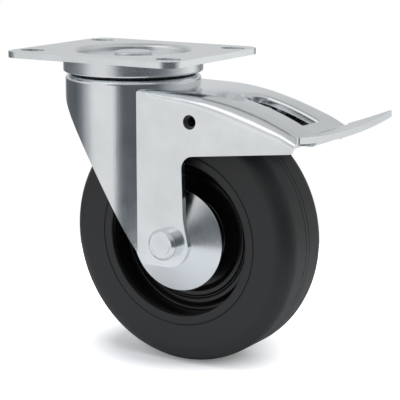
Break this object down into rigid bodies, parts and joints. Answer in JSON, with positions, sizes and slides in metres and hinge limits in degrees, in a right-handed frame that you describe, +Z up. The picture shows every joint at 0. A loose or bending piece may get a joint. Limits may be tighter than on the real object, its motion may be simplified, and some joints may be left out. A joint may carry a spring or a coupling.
{
  "type": "swivel castor",
  "caption": "Swivel castor with a slotted top plate, pressed steel fork, rubber-tyred wheel on a roller bearing and a foot brake.",
  "frame": {"origin": "centre of the top plate's upper face, on the swivel axis", "axes": "+Z up out of the plate, +X the way the wheel trails and the brake's foot plate points, +Y along the axle"},
  "size_m": [0.1698, 0.097, 0.152],
  "materials": {
    "zinc_plated_steel": "bright zinc plate",
    "bearing_steel": "ground",
    "dark_steel": "blackened",
    "tyre_rubber": "matt",
    "rim_plastic": "gloss",
    "cage_plastic": "matt",
    "seal_rubber": "matt",
    "shoe_rubber": "matt"
  },
  "bodies": {
    "plate": {"top_plate": "zinc_plated_steel", "swivel_ring": "zinc_plated_steel", "lower_race_cup": "zinc_plated_steel", "king_pin": "zinc_plated_steel", "king_pin_washer": "zinc_plated_steel", "king_pin_nut": "zinc_plated_steel"},
    "upper_race": {"upper_balls": "bearing_steel"},
    "lower_race": {"lower_balls": "bearing_steel"},
    "fork_body": {"fork": "zinc_plated_steel", "dust_seal": "seal_rubber", "axle_bolt": "zinc_plated_steel", "axle_washer": "zinc_plated_steel", "axle_nut": "zinc_plated_steel", "axle_tube": "bearing_steel", "thread_guard_near": "zinc_plated_steel", "thread_guard_far": "zinc_plated_steel"},
    "wheel": {"tyre": "tyre_rubber", "wheel_rim": "rim_plastic", "hub_sleeve": "bearing_steel"},
    "bearing": {"rollers": "bearing_steel", "roller_cage": "cage_plastic"},
    "brake": {"brake_lever": "zinc_plated_steel", "brake_shoe": "shoe_rubber", "shoe_rivets": "zinc_plated_steel", "pivot_pins": "dark_steel", "friction_washers": "bearing_steel"}
  },
  "joints": [
    {"name": "swivel", "type": "hinge", "parent": "plate", "child": "fork_body", "pos_m": [0, 0, 0], "axis": [0, 0, 1], "continuous": true},
    {"name": "upper_race_turn", "type": "hinge", "parent": "plate", "child": "upper_race", "pos_m": [0, 0, 0], "axis": [0, 0, 1], "continuous": true},
    {"name": "lower_race_turn", "type": "hinge", "parent": "plate", "child": "lower_race", "pos_m": [0, 0, 0], "axis": [0, 0, 1], "continuous": true},
    {"name": "wheel_spin", "type": "hinge", "parent": "fork_body", "child": "wheel", "pos_m": [0.037, 0, -0.0895], "axis": [0, 1, 0], "continuous": true},
    {"name": "bearing_turn", "type": "hinge", "parent": "fork_body", "child": "bearing", "pos_m": [0.037, 0, -0.0895], "axis": [0, 1, 0], "continuous": true},
    {"name": "brake_pedal", "type": "hinge", "parent": "fork_body", "child": "brake", "pos_m": [0.05, 0, -0.0294], "axis": [0, 1, 0], "range_deg": [0, 7]}
  ],
  "couplings": [
    {"joint": "upper_race_turn", "follows": "swivel", "ratio": 0.5},
    {"joint": "lower_race_turn", "follows": "swivel", "ratio": 0.5},
    {"joint": "bearing_turn", "follows": "wheel_spin", "ratio": 0.6053}
  ]
}
